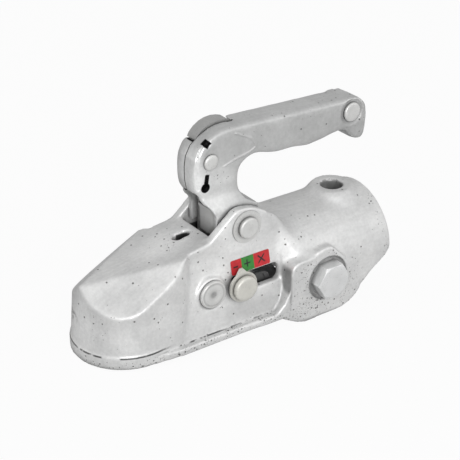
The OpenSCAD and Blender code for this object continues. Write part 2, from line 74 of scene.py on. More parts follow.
# small helpers for node trees
class Tree:
    def __init__(self, name):
        self.material = bpy.data.materials.new(name)
        self.material.use_nodes = True
        self.nodes = self.material.node_tree.nodes
        self.links = self.material.node_tree.links
        self.shader = self.nodes["Principled BSDF"]
        self.coords = self.nodes.new("ShaderNodeTexCoord").outputs["Object"]

    def put(self, value, socket):
        if isinstance(value, bpy.types.NodeSocket):
            self.links.new(value, socket)
        elif socket.type == "RGBA":
            socket.default_value = grey(value)
        else:
            socket.default_value = value

    def noise(self, scale, detail=4.0, rough=0.55, stretch=None):
        node = self.nodes.new("ShaderNodeTexNoise")
        node.inputs["Scale"].default_value = scale
        node.inputs["Detail"].default_value = detail
        node.inputs["Roughness"].default_value = rough
        source = self.coords
        if stretch:
            mapping = self.nodes.new("ShaderNodeMapping")
            mapping.inputs["Scale"].default_value = stretch
            self.links.new(self.coords, mapping.inputs["Vector"])
            source = mapping.outputs["Vector"]
        self.links.new(source, node.inputs["Vector"])
        return node.outputs["Fac"]

    def cells(self, scale):
        node = self.nodes.new("ShaderNodeTexVoronoi")
        node.inputs["Scale"].default_value = scale
        self.links.new(self.coords, node.inputs["Vector"])
        return node

    def ramp(self, source, stops):
        node = self.nodes.new("ShaderNodeValToRGB")
        setStops(node.color_ramp, stops)
        self.links.new(source, node.inputs["Fac"])
        return node.outputs["Color"]

    def mix(self, kind, factor, first, second):
        node = self.nodes.new("ShaderNodeMix")
        node.data_type = "RGBA"
        node.blend_type = kind
        for value, socket in ((factor, 0), (first, 6), (second, 7)):
            self.put(value, node.inputs[socket])
        return node.outputs[2]

    def math(self, kind, first, second=0.0):
        node = self.nodes.new("ShaderNodeMath")
        node.operation = kind
        self.put(first, node.inputs[0])
        self.put(second, node.inputs[1])
        return node.outputs[0]

    def range(self, value, low, high, first=0.0, last=1.0):
        node = self.nodes.new("ShaderNodeMapRange")
        node.interpolation_type = "SMOOTHSTEP"
        for name, number in (("From Min", low), ("From Max", high), ("To Min", first), ("To Max", last)):
            node.inputs[name].default_value = number
        self.links.new(value, node.inputs["Value"])
        return node.outputs["Result"]

    # object coordinates seen from a place, turned about Y and measured in the given sizes
    def local(self, place, size, turn=0.0):
        node = self.nodes.new("ShaderNodeMapping")
        node.vector_type = "TEXTURE"
        node.inputs["Location"].default_value = Vector(place) * mm
        node.inputs["Rotation"].default_value = (0.0, turn, 0.0)
        node.inputs["Scale"].default_value = Vector(size) * mm
        self.links.new(self.coords, node.inputs["Vector"])
        return node.outputs["Vector"]

    # 1 inside an ellipsoid, 0 outside
    def blob(self, place, size, soft=0.5):
        node = self.nodes.new("ShaderNodeVectorMath")
        node.operation = "LENGTH"
        self.links.new(self.local(place, size), node.inputs[0])
        return self.range(node.outputs["Value"], 1.0 - soft, 1.0, 1.0, 0.0)

    # 1 inside a box given by its middle and half sizes, turned about Y
    def block(self, place, half, turn=0.0, soft=0.12):
        size = self.nodes.new("ShaderNodeVectorMath")
        size.operation = "ABSOLUTE"
        self.links.new(self.local(place, half, turn), size.inputs[0])
        split = self.nodes.new("ShaderNodeSeparateXYZ")
        self.links.new(size.outputs["Vector"], split.inputs[0])
        far = self.most([split.outputs["X"], split.outputs["Y"], split.outputs["Z"]])
        return self.range(far, 1.0 - soft, 1.0 + soft, 1.0, 0.0)

    # 1 on a straight stroke in the XZ plane
    def stroke(self, place, length, width, turn=0.0):
        return self.block(place, (length / 2, 60, width / 2), turn, 0.25)

    # painted shade: darker in corners and under edges, by how open a place is to the room
    def openness(self, distance, low, dark):
        node = self.nodes.new("ShaderNodeAmbientOcclusion")
        node.samples = 8
        node.inputs["Distance"].default_value = distance * mm
        return self.range(node.outputs["AO"], low, 0.92, dark, 1.0)

    # a cell's own random number
    def cellValue(self, node):
        split = self.nodes.new("ShaderNodeSeparateColor")
        self.links.new(node.outputs["Color"], split.inputs[0])
        return split.outputs[0]

    def darken(self, color, factor):
        return self.mix("MULTIPLY", 1.0, color, self.ramp(factor, [(0.0, 0.0), (1.0, 1.0)]))

    def most(self, values):
        total = values[0]
        for value in values[1:]:
            total = self.math("MAXIMUM", total, value)
        return total

    def axes(self):
        split = self.nodes.new("ShaderNodeSeparateXYZ")
        self.links.new(self.coords, split.inputs[0])
        return split.outputs

    # painted shade: how far a face is marked to be painted near black
    def paintedShade(self):
        node = self.nodes.new("ShaderNodeAttribute")
        node.attribute_name = "paintedShade"
        return node.outputs["Fac"]

    def pointed(self):
        return self.nodes.new("ShaderNodeNewGeometry").outputs["Pointiness"]

    def bump(self, height, distance, strength=1.0, before=None):
        node = self.nodes.new("ShaderNodeBump")
        node.inputs["Distance"].default_value = distance
        node.inputs["Strength"].default_value = strength
        self.links.new(height, node.inputs["Height"])
        if before is not None:
            self.links.new(before, node.inputs["Normal"])
        return node.outputs["Normal"]

    def finish(self, color, roughness, normal, metallic):
        self.put(metallic, self.shader.inputs["Metallic"])
        self.put(color, self.shader.inputs["Base Color"])
        self.put(roughness, self.shader.inputs["Roughness"])
        if normal is not None:
            self.links.new(normal, self.shader.inputs["Normal"])
        return self.material


def grey(tone):
    if isinstance(tone, (int, float)):
        return (tone, tone, tone, 1.0)
    return tuple(tone) + (1.0,)


# a colour ramp's stops, given as place and tone
def setStops(ramp, stops):
    ramp.elements[0].position, ramp.elements[0].color = stops[0][0], grey(stops[0][1])
    ramp.elements[1].position, ramp.elements[1].color = stops[-1][0], grey(stops[-1][1])
    for place, tone in stops[1:-1]:
        ramp.elements.new(place).color = grey(tone)


# hot-dip zinc: fine grain, faint clouds, dark pits, painted shade in creases, and edges painted bright as
# rubbed wear and painted highlight
shellLook = {
    "light": (0.70, 0.70, 0.695), "dark": (0.60, 0.602, 0.60), "metal": 0.32,
    "rough": (0.36, 0.52), "grain": 0.30,
    "creaseShade": (0.40, 0.492), "edge": (0.515, 0.60, 1.18),
    "open": (6.5, 0.30, 0.34),        # painted shade in corners: reach, least openness, how dark a corner gets
    "pit": (0.10, 0.10, 0.096), "pitsAll": 0.12,
    "pitted": [                       # where the pits lie close: middle, half sizes, strength
        ((127, -38, -8), (36, 12, 30), 1.0), ((60, -37, -22), (110, 14, 9), 0.95),
        ((-8, -20, -22), (44, 30, 7), 0.85), ((178, -14, 8), (9, 30, 34), 0.75),
        ((38, -4, 36), (22, 14, 8), 0.4), ((-26, -14, 2), (6, 12, 14), 0.4),
    ],
    "paintedLightShade": [                        # painted light and painted shade, brighter or darker where light falls more or less: middle, half sizes, factor
        ((72, -20, 40), (30, 10, 22), 1.20), ((58, -18.7, 47), (15, 5, 13), 1.12),
        ((102, -30, 20), (17, 12, 18), 1.10), ((56, -28, 18), (26, 9, 20), 1.14),
        ((-2, -20, 16), (46, 22, 22), 0.88), ((76, -28, -12), (36, 8, 14), 0.82),
        ((99.2, -34, 4), (2.2, 14, 30), 0.45), ((128, -38, -10), (30, 8, 24), 0.93),
        ((24, 0, 38), (46, 22, 9), 1.18), ((-36, 0, 0), (16, 26, 34), 1.24),
    ],
    "scuffed": [                      # dark rubbed patches
        ((-30, 10, 3), (5, 12, 5)), ((-20, -3, 12), (6, 2.2, 2)), ((180, -30, 4), (3, 5, 5)),
        ((62, -33, -4), (5, 4, 3)),
    ],
    "lines": [                        # painted shade as broken dark lines along the flange groove: middle, half sizes, turn
        ((-14, 0, -14.6), (24, 60, 0.5), 0.0), ((44, -30, -16.7), (34, 12, 0.35), 0.0),
        ((44, 30, -16.7), (34, 12, 0.35), 0.0),
    ],
    "holeShades": [], "round": [],
}
handleLook = {
    "light": (0.57, 0.573, 0.57), "dark": (0.47, 0.473, 0.47), "metal": 0.45,
    "rough": (0.32, 0.46), "grain": 0.22,
    "creaseShade": (0.40, 0.49), "edge": (0.515, 0.60, 1.22),
    "open": (5.0, 0.30, 0.40),
    "pit": (0.12, 0.12, 0.116), "pitsAll": 0.12,
    "pitted": [((60, -10, 76), (16, 8, 12), 0.3)],
    "paintedLightShade": [((60, -10, 66), (26, 14, 26), 1.36), ((46, -5, 82), (14, 18, 26), 1.42),
              ((168, -6, 88), (16, 14, 20), 0.82), ((120, 0, 104), (70, 20, 5), 1.06)],
    "scuffed": [],
    "lines": [],
    "holeShades": [                        # openings painted black as painted shade: middle, half sizes, turn
        ((55.2, -9.6, 97.9), (2.15, 3.4, 2.2), 0.82), ((54.3, -10.5, 74.8), (1.55, 2.4, 3.6), 0.156),
        ((77.9, 0.4, 104.2), (2.9, 0.75, 1.6), 0.0), ((53.0, 5.2, 97.6), (1.5, 5.2, 1.1), 0.0),
    ],
    # the keyhole's round, also painted black as painted shade
    "round": [((53.5, -10.5, 70.0), (3.3, 6.0, 3.3))],
}


# what both pressed parts share: scales in turns per metre, a depth in mm, then tones
zincTexture = {
    "clouds": 34.0, "grain": 520.0, "brushing": 160.0, "brushedAlong": (0.25, 4.0, 1.0),
    "patches": 60.0, "strays": 26.0, "pits": 400.0, "specks": 900.0, "scuffs": 300.0,
    "breaks": 75.0, "gloss": 90.0, "ripple": 1100.0, "swell": 150.0, "pitDepth": 0.22,
    "creaseShadeTone": 0.42, "scuffTone": 0.2, "lineTone": 0.07, "holeShadeTone": 0.006,
}


def makeZinc(name, look):
    tree = Tree(name)
    shared = zincTexture
    cloud = tree.noise(shared["clouds"], 5.0, 0.62)
    cloud = tree.ramp(cloud, [(0.36, look["dark"]), (0.64, look["light"])])
    grain = tree.ramp(tree.noise(shared["grain"], 3.0, 0.6), [(0.30, 0.88), (0.70, 1.0)])
    color = tree.mix("MULTIPLY", 1.0, cloud, grain)
    brushed = tree.noise(shared["brushing"], 3.0, 0.6, shared["brushedAlong"])
    color = tree.darken(color, tree.range(brushed, 0.35, 0.65, 0.95, 1.0))
    # pits: dark dots in cells, thinned out by a noise that the pitted places raise
    places = [tree.math("MULTIPLY", tree.blob(place, half, 0.6), strength)
              for place, half, strength in look["pitted"]]
    patchy = tree.range(tree.noise(shared["patches"], 2.0, 0.5), 0.38, 0.60, 0.35, 1.0)
    dense = tree.math("MULTIPLY", tree.most(places), patchy)
    strays = tree.math("MULTIPLY", tree.noise(shared["strays"], 3.0, 0.6), look["pitsAll"])
    dense = tree.math("MAXIMUM", dense, strays)
    dots = tree.cells(shared["pits"])
    size = tree.range(dots.outputs["Distance"], 0.17, 0.30, 1.0, 0.0)
    chosen = tree.math("GREATER_THAN", dense, tree.math("SUBTRACT", 1.0, tree.cellValue(dots)))
    pits = tree.math("MULTIPLY", size, chosen)
    small = tree.cells(shared["specks"])
    fine = tree.range(small.outputs["Distance"], 0.16, 0.30, 1.0, 0.0)
    chosen = tree.math("GREATER_THAN", dense, tree.math("SUBTRACT", 1.05, tree.cellValue(small)))
    pits = tree.math("MAXIMUM", pits, tree.math("MULTIPLY", fine, chosen))
    color = tree.mix("MIX", tree.math("MULTIPLY", pits, 0.9), color, look["pit"])
    # painted light and painted shade: patches made brighter or darker
    for place, half, factor in look["paintedLightShade"]:
        patch = tree.range(tree.blob(place, half, 0.8), 0.0, 1.0, 1.0, factor)
        color = tree.mix("MULTIPLY", 1.0, color, patch)
    # painted shade in creases and corners, from pointiness and ambient occlusion; edges painted bright,
    # partly rubbed wear and partly painted highlight
    pointed = tree.pointed()
    creaseShade = tree.range(pointed, look["creaseShade"][0], look["creaseShade"][1], shared["creaseShadeTone"], 1.0)
    reach, low, dark = look["open"]
    color = tree.darken(color, tree.math("MULTIPLY", creaseShade, tree.openness(reach, low, dark)))
    edge = tree.range(pointed, look["edge"][0], look["edge"][1], 0.0, 1.0)
    color = tree.mix("MIX", edge, color, tuple(min(0.86, part * look["edge"][2]) for part in look["light"]))
    scuffs = [tree.blob(place, half, 0.7) for place, half in look["scuffed"]]
    if scuffs:
        rubbed = tree.range(tree.noise(shared["scuffs"], 4.0, 0.7), 0.42, 0.58)
        rubbed = tree.math("MULTIPLY", tree.most(scuffs), rubbed)
        color = tree.mix("MIX", rubbed, color, shared["scuffTone"])
    # painted shade: broken dark lines in the flange groove
    lines = [tree.block(place, half, turn, 0.4) for place, half, turn in look["lines"]]
    if lines:
        broken = tree.range(tree.noise(shared["breaks"], 3.0, 0.6), 0.44, 0.52)
        broken = tree.math("MULTIPLY", tree.most(lines), broken)
        color = tree.mix("MIX", broken, color, shared["lineTone"])
    # painted shade: openings and marked faces painted near black, with full metalness so they reflect
    # almost nothing
    holeShades = [tree.block(place, half, turn) for place, half, turn in look["holeShades"]]
    holeShades += [tree.blob(place, half, 0.1) for place, half in look["round"]]
    black = tree.most([tree.paintedShade()] + holeShades)
    color = tree.mix("MIX", black, color, shared["holeShadeTone"])
    gloss = tree.noise(shared["gloss"], 4.0, 0.6)
    rough = tree.range(gloss, 0.3, 0.7, look["rough"][0], look["rough"][1])
    ripple = tree.bump(tree.noise(shared["ripple"], 2.0, 0.6), look["grain"] * 0.25 * mm, 0.5)
    soft = tree.bump(tree.noise(shared["swell"], 4.0, 0.5), look["grain"] * mm, 0.5, ripple)
    normal = tree.bump(tree.math("SUBTRACT", 1.0, pits), shared["pitDepth"] * mm, 0.8, soft)
    return tree.finish(color, rough, normal, tree.math("MAXIMUM", black, look["metal"]))


def makePlain(name, color, metal, roughLow, roughHigh, bumpSize):
    tree = Tree(name)
    dark = tuple(0.86 * part for part in color)
    tone = tree.ramp(tree.noise(95.0, 5.0, 0.6), [(0.32, dark), (0.68, color)])
    tone = tree.darken(tone, tree.range(tree.cells(700.0).outputs["Distance"], 0.10, 0.20, 0.72, 1.0))
    # painted shade in corners and under edges
    tone = tree.darken(tone, tree.openness(4.0, 0.30, 0.40))
    # painted shade: faces marked for it made near black
    tone = tree.mix("MIX", tree.paintedShade(), tone, 0.012)
    rough = tree.range(tree.noise(160.0, 4.0, 0.6), 0.3, 0.7, roughLow, roughHigh)
    normal = tree.bump(tree.noise(650.0, 4.0, 0.6), bumpSize * mm, 0.6)
    return tree.finish(tone, rough, normal, metal)


# the wear scale: red, green and red fields with plain marks
scaleLook = {
    "red": (0.46, 0.016, 0.022), "green": (0.030, 0.20, 0.030), "ink": (0.010, 0.010, 0.010),
    "firstSplit": 70.1, "secondSplit": 79.3, "middle": 18.7,
    "minus": (65.6, 3.4), "plus": (74.3, 4.6), "cross": (85.0, 6.8), "line": 0.95, "blur": 0.15,
}


def makeScale():
    look = scaleLook
    tree = Tree("scaleFilm")
    x = tree.axes()["X"]
    first, second = (
        tree.range(x, (look[split] - look["blur"]) * mm, (look[split] + look["blur"]) * mm)
        for split in ("firstSplit", "secondSplit"))
    color = tree.mix("MIX", first, look["red"], look["green"])
    color = tree.mix("MIX", second, color, look["red"])
    # each mark's strokes, turned in eighths of a round
    strokes = {"minus": (0,), "plus": (0, 2), "cross": (1, -1)}
    marks = [
        tree.stroke((look[mark][0], 0, look["middle"]), look[mark][1], look["line"], step * math.pi / 4)
        for mark, steps in strokes.items() for step in steps]
    color = tree.mix("MIX", tree.most(marks), color, look["ink"])
    color = tree.darken(color, tree.range(tree.noise(420.0, 4.0, 0.6), 0.35, 0.65, 0.82, 1.0))
    return tree.finish(color, 0.5, tree.bump(tree.noise(500.0), 0.05 * mm, 0.4), 0.0)


shellZinc = makeZinc("shellZinc", shellLook)
handleZinc = makeZinc("handleZinc", handleLook)
rivetZinc = makePlain("rivetZinc", (0.64, 0.64, 0.63), 0.35, 0.34, 0.5, 0.14)
boltZinc = makePlain("boltZinc", (0.70, 0.705, 0.705), 0.35, 0.34, 0.5, 0.10)
pinZinc = makePlain("pinZinc", (0.64, 0.63, 0.585), 0.35, 0.36, 0.5, 0.12)
innerSteel = makePlain("innerSteel", (0.36, 0.37, 0.38), 0.7, 0.34, 0.5, 0.15)
springSteel = makePlain("springSteel", (0.20, 0.205, 0.21), 0.7, 0.28, 0.42, 0.08)
forgedSteel = makePlain("forgedSteel", (0.30, 0.30, 0.295), 0.55, 0.40, 0.55, 0.4)
bushBronze = makePlain("bushBronze", (0.42, 0.30, 0.14), 0.85, 0.35, 0.5, 0.1)
catchZinc = makePlain("catchZinc", (0.42, 0.42, 0.415), 0.45, 0.34, 0.48, 0.3)
# near black: the slider's tongue, also standing as painted shade inside the wear slot
tongueShadeSteel = makePlain("tongueShadeSteel", (0.16, 0.16, 0.16), 0.5, 0.34, 0.5, 0.2)
plateZinc = makePlain("plateZinc", (0.50, 0.50, 0.495), 0.4, 0.36, 0.5, 0.12)
scaleFilm = makeScale()
print("materials made")


def dress(node, material):
    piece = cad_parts[node]
    piece.data.materials.clear()
    piece.data.materials.append(material)
    return piece


finishes = {
    "pivot_rivet": rivetZinc, "pivot_washer_near": rivetZinc, "pivot_washer_far": rivetZinc,
    "jaw_rivet": rivetZinc, "cross_bolt": boltZinc, "cross_washer": boltZinc,
    "cross_nut": boltZinc, "drawbar_stop": innerSteel, "handle_front_rivet": rivetZinc,
    "handle_end_rivet": rivetZinc, "pivot_sleeve": innerSteel, "drive_pin": innerSteel,
    "handle_spring": springSteel, "safety_catch": catchZinc, "catch_spring": springSteel,
    "slider": forgedSteel, "indicator_pin": pinZinc, "pointer_plate": pinZinc,
    "pin_retainer": springSteel, "jaw": forgedSteel, "jaw_bush": bushBronze,
    "jaw_spring": springSteel, "housing": shellZinc, "handle_shell": handleZinc,
    "wear_label": scaleFilm,
}
for node, material in finishes.items():
    dress(node, material)
print("nodes dressed")


# a flat closed plate, its outline in the XZ plane, added to a pressed part before its skin is made
def addPlate(build, outline, near, far):
    ring = [build.verts.new((x * mm, near * mm, z * mm)) for x, z in outline]
    grown = bmesh.ops.extrude_face_region(build, geom=[build.faces.new(ring)])["geom"]
    moved = [item for item in grown if isinstance(item, bmesh.types.BMVert)]
    bmesh.ops.translate(build, verts=moved, vec=(0, (far - near) * mm, 0))


# one closed skin over the exact solid, as even small faces
def makeSkin(node, name, form):
    build = bmesh.new()
    build.from_mesh(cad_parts[node].data)
    bmesh.ops.remove_doubles(build, verts=build.verts, dist=0.001 * mm)
    for outline, near, far in form["plates"]:
        addPlate(build, outline, near, far)
    mesh = bpy.data.meshes.new(name + "Rough")
    build.to_mesh(mesh)
    build.free()
    rough = bpy.data.objects.new(name + "Rough", mesh)
    scene.collection.objects.link(rough)
    remesh = rough.modifiers.new("skin", "REMESH")
    remesh.mode = "VOXEL"
    remesh.voxel_size = form["voxel"] * mm
    graph = bpy.context.evaluated_depsgraph_get()
    skinned = bpy.data.meshes.new_from_object(rough.evaluated_get(graph))
    bpy.data.objects.remove(rough)
    build = bmesh.new()
    build.from_mesh(skinned)
    bpy.data.meshes.remove(skinned)
    return build


def relax(build, verts, rounds):
    for turn in range(rounds):
        bmesh.ops.smooth_vert(
            build, verts=verts, factor=0.5, use_axis_x=True, use_axis_y=True, use_axis_z=True)


def inBox(place, low, high):
    return all(a * mm <= value <= b * mm for a, value, b in zip(low, place, high))


def relaxZones(build, form):
    relax(build, build.verts, form["rounds"])
    for zone in form["zones"]:
        chosen = [v for v in build.verts if inBox(v.co, zone["low"], zone["high"])]
        if "spare" in zone:
            x, y, radius = (value * mm for value in zone["spare"])
            chosen = [v for v in chosen if math.hypot(v.co.x - x, v.co.y - y) > radius]
        relax(build, chosen, zone["rounds"])


def finishSkin(build, name, node, body, material):
    bmesh.ops.triangulate(build, faces=build.faces)
    mesh = bpy.data.meshes.new(name)
    build.to_mesh(mesh)
    build.free()
    mesh.shade_smooth()
    mesh.materials.append(material)
    piece = bpy.data.objects.new(name, mesh)
    scene.collection.objects.link(piece)
    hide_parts(node)
    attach(piece, body)
    print(name, len(mesh.polygons), "triangles")
    return piece


# housing: pressed sheet, soft where it was bent and crisp where it was sheared
shellForm = {
    "voxel": 0.96, "rounds": 2, "plates": [],
    "zones": [
        {"low": (91, -41, 14), "high": (120, -15.6, 52), "rounds": 36},
        {"low": (91, 15.6, 14), "high": (120, 41, 52), "rounds": 36},
        {"low": (97, -36, -13), "high": (118, -17, 30), "rounds": 10},
        {"low": (97, 17, -13), "high": (118, 36, 30), "rounds": 10},
        {"low": (136, -30, 25), "high": (180.5, 30, 42), "rounds": 34, "spare": (160, 0, 13.5)},
        {"low": (-34, -34, -10), "high": (33, 34, 34), "rounds": 3},
        {"low": (40, -34, 24), "high": (60, -18, 46), "rounds": 4},
        {"low": (40, 18, 24), "high": (60, 34, 46), "rounds": 4},
    ],
    # front edge of the ears: a straight chord of their round, seen from its middle
    "ear": {"x": 72.7, "z": 28.9, "radius": 26.0, "from": 100.9, "to": 157.5,
            "inner": 13.0, "beyond": 3.0, "side": 15.3},
    # painted shade inside: boxes that hold only inner faces, painted dark
    "dark": [((40, -15.7, 6), (104, 15.7, 36.2), 0.8)],
    # painted shade on the walls that face inward and inside the upright bolt hole
    "innerWall": {"low": (44, -25.5, -24), "high": (111, 25.5, 34), "lean": 0.3, "dark": 0.8},
    "boltHole": {"x": 160.0, "radius": 7.7, "low": 20.0, "high": 38.7, "dark": 0.55},
}


def straightenEars(build, form):
    ear = form["ear"]
    middle = math.radians((ear["from"] + ear["to"]) / 2)
    half = math.radians((ear["to"] - ear["from"]) / 2)
    reach = ear["radius"] * math.cos(half)
    for vert in build.verts:
        if abs(vert.co.y) < ear["side"] * mm:
            continue
        dx, dz = vert.co.x / mm - ear["x"], vert.co.z / mm - ear["z"]
        away = math.hypot(dx, dz)
        if away < ear["inner"] or away > ear["radius"] + ear["beyond"]:
            continue
        angle = abs(math.atan2(dz, dx) - middle)
        if angle < half:
            full = min(1.0, reach / math.cos(angle) / ear["radius"])
            blend = min(1.0, (away - ear["inner"]) / (ear["radius"] - ear["inner"]))
            factor = 1.0 + blend * (full - 1.0)
            vert.co.x = (ear["x"] + dx * factor) * mm
            vert.co.z = (ear["z"] + dz * factor) * mm


def makeHousing():
    build = makeSkin("housing", "housingSkin", shellForm)
    straightenEars(build, shellForm)
    relaxZones(build, shellForm)
    # painted shade: inner walls, inner faces and the bolt hole's inside marked dark
    paintedShade = build.verts.layers.float.new("paintedShade")
    hole, wall = shellForm["boltHole"], shellForm["innerWall"]
    build.normal_update()
    for vert in build.verts:
        inward = -vert.normal.y * math.copysign(1.0, vert.co.y)
        if inward > wall["lean"] and inBox(vert.co, wall["low"], wall["high"]):
            vert[paintedShade] = wall["dark"]
        for low, high, dark in shellForm["dark"]:
            if inBox(vert.co, low, high):
                vert[paintedShade] = dark
        x, y, z = (value / mm for value in vert.co)
        if math.hypot(x - hole["x"], y) < hole["radius"] and hole["low"] < z < hole["high"]:
            vert[paintedShade] = hole["dark"]
    finishSkin(build, "housingSkin", "housing", "shell", shellZinc)


makeHousing()


# handle: two pressed halves that meet in a seam down the front
handleForm = {
    "voxel": 0.6, "rounds": 2,
    # filled before the skin is made: the thumb slot's narrow end, and the two openings of the near
    # side, which are pressed in and painted black again afterwards with clean edges, as painted shade
    "plates": [
        ([(80.2, 102.6), (83.4, 102.6), (83.4, 103.85), (80.2, 103.85)], -0.95, 10.1),
        ([(50.4, 66.4), (57.4, 66.4), (57.4, 79.0), (50.4, 79.0)], -10.46, -8.3),
        ([(50.6, 94.6), (58.2, 94.6), (58.2, 100.7), (55.6, 99.4), (50.6, 95.6)], -10.46, -7.4),
    ],
    "zones": [
        {"low": (40, -16, 47), "high": (95, 16, 68), "rounds": 8},
        {"low": (155, -11.5, 81), "high": (176, -8, 103), "rounds": 5},
        {"low": (155, 8, 81), "high": (176, 11.5, 103), "rounds": 5},
    ],
    # outer corners: rolled over a few steps either side of the edge
    "rolled": {"floor": 64, "side": 9.4, "lean": (0.25, 0.94), "steps": 7, "rounds": 60},
    # places along the edge that stay crisp: x, z, radius
    "crisp": [(57.3, 85.9, 6.0), (165.8, 91.8, 9.8)],
    "seam": {"y": 0.45, "half": 0.5, "depth": 0.9, "near": 3.0, "bottom": 66.5, "edge": 1.6},
    # inside of the handle: boxes whose faces are painted near black as painted shade
    "dark": [((48.9, -8, 60), (76.8, 8, 88)), ((53.8, -8, 88), (76.8, 8, 95)),
             ((76.6, -8, 85), (158, 8, 99)), ((62, -8, 95), (84, 8, 101.7))],
    "darkness": 0.93,
}


# front outline of the neck, from under the chin to the thumb slot
frontLine = [(47.0, 66.5), (45.7, 74.0), (45.6, 82.0), (46.6, 89.0), (50.0, 95.2), (53.5, 98.0)]
# pressed groove behind the front edge, and the arrow raised on the near side
groove = {
    "line": [(48.6, 70.0), (47.9, 76.7), (47.5, 83.6), (48.9, 91.5), (51.2, 95.4)],
    "half": 1.5, "depth": 0.55,
}
arrow = {
    "line": [(66.5, 80.6), (75.8, 83.4), (85.1, 85.1), (90.6, 87.8), (87.1, 94.0), (75.3, 100.0)],
    "half": 0.9, "height": 0.6,
}
# the near side's flat face, which all of these are pressed into
nearFace = {"y": -7.5, "lean": -0.4, "front": 45, "back": 95, "bottom": 66}
# openings pressed in on the near side: x, z, radius, depth
pockets = [(55.0, 98.0, 2.6, 1.6), (53.5, 70.0, 3.0, 1.6), (54.0, 73.4, 1.4, 1.4), (54.6, 77.0, 1.4, 1.4)]


def distanceTo(line, x, z):
    best = 1e9
    for (ax, az), (bx, bz) in zip(line, line[1:]):
        dx, dz = bx - ax, bz - az
        t = max(0.0, min(1.0, ((x - ax) * dx + (z - az) * dz) / (dx * dx + dz * dz)))
        best = min(best, math.hypot(x - ax - t * dx, z - az - t * dz))
    return best


def rollCorners(build, form):
    rolled = form["rolled"]
    picked = set()
    for vert in build.verts:
        x, y, z = (value / mm for value in vert.co)
        if z < rolled["floor"] or abs(y) < rolled["side"]:
            continue
        if not rolled["lean"][0] < abs(vert.normal.y) < rolled["lean"][1]:
            continue
        if any(math.hypot(x - cx, z - cz) < radius for cx, cz, radius in form["crisp"]):
            continue
        picked.add(vert)
    for step in range(rolled["steps"]):
        picked |= {
            edge.other_vert(vert) for vert in picked for edge in vert.link_edges}
    picked = [
        v for v in picked
        if not any(math.hypot(v.co.x / mm - cx, v.co.z / mm - cz) < radius
                   for cx, cz, radius in form["crisp"])]
    relax(build, picked, rolled["rounds"])


def pressLines(build):
    build.normal_update()
    for vert in build.verts:
        x, y, z = (value / mm for value in vert.co)
        if y > nearFace["y"] or vert.normal.y > nearFace["lean"] or z < nearFace["bottom"]:
            continue
        if not nearFace["front"] < x < nearFace["back"]:
            continue
        for px, pz, radius, depth in pockets:
            away = math.hypot(x - px, z - pz) / radius
            if away < 1.0:
                vert.co.y += depth * mm * min(1.0, 3.0 * (1.0 - away))
                break
        away = distanceTo(groove["line"], x, z)
        if away < groove["half"]:
            vert.co.y += groove["depth"] * mm * (0.5 + 0.5 * math.cos(math.pi * away / groove["half"]))
        away = distanceTo(arrow["line"], x, z)
        if away < arrow["half"]:
            vert.co.y -= arrow["height"] * mm * (0.5 + 0.5 * math.cos(math.pi * away / arrow["half"]))


# a crisp V cut down the front, between the two halves, its faces painted dark as painted shade in the seam
def cutSeam(build, form, paintedShade):
    seam = form["seam"]
    middle = seam["y"] * mm

    def front(face):
        place = face.calc_center_median() / mm
        return (abs(place.y - seam["y"]) < seam["near"] and place.z > seam["bottom"]
                and face.normal.x < 0.3 and distanceTo(frontLine, place.x, place.z) < seam["edge"])

    for offset in (-seam["half"], 0.0, seam["half"]):
        faces = [face for face in build.faces if front(face)]
        verts = {v for face in faces for v in face.verts}
        edges = {e for face in faces for e in face.edges}
        bmesh.ops.bisect_plane(
            build, geom=list(verts) + list(edges) + faces, dist=0.04 * mm,
            plane_co=(0, middle + offset * mm, 0), plane_no=(0, 1, 0))
    build.normal_update()
    verts = {v for face in build.faces if front(face) for v in face.verts}
    for vert in verts:
        away = abs(vert.co.y - middle) / (seam["half"] * mm)
        if away < 0.98:
            vert.co -= vert.normal * seam["depth"] * mm * (1 - away)
            vert[paintedShade] = 1.0 - 0.25 * away


def makeHandle():
    build = makeSkin("handle_shell", "handleSkin", handleForm)
    relaxZones(build, handleForm)
    rollCorners(build, handleForm)
    pressLines(build)
    paintedShade = build.verts.layers.float.new("paintedShade")
    cutSeam(build, handleForm, paintedShade)
    # painted shade: faces inside the handle marked near black
    for vert in build.verts:
        if any(inBox(vert.co, low, high) for low, high in handleForm["dark"]):
            vert[paintedShade] = handleForm["darkness"]
    finishSkin(build, "handleSkin", "handle_shell", "handle", handleZinc)


makeHandle()


# the sheet between the handle's legs, in front of the spring: one lap lies forward of the other
legSheet = {
    "plan": [(-11.9, 60.2), (-4.0, 59.4), (2.4, 59.4), (3.2, 60.2), (3.3, 63.2), (11.9, 63.6)],
    "low": 36.0, "high": [(47.0, 0.0), (51.0, -0.2), (54.5, -1.6)],
    "thick": 1.1, "sharper": 0.4, "bevel": 0.3,
}


# the edges that are sharper than the angle, in radians, get a small round
def roundEdges(build, sharper, size):
    sharp = [edge for edge in build.edges if edge.is_manifold and edge.calc_face_angle(0.0) > sharper]
    bmesh.ops.bevel(
        build, geom=sharp, offset=size * mm, offset_type="OFFSET", segments=2, profile=0.5,
        affect="EDGES", material=-1)


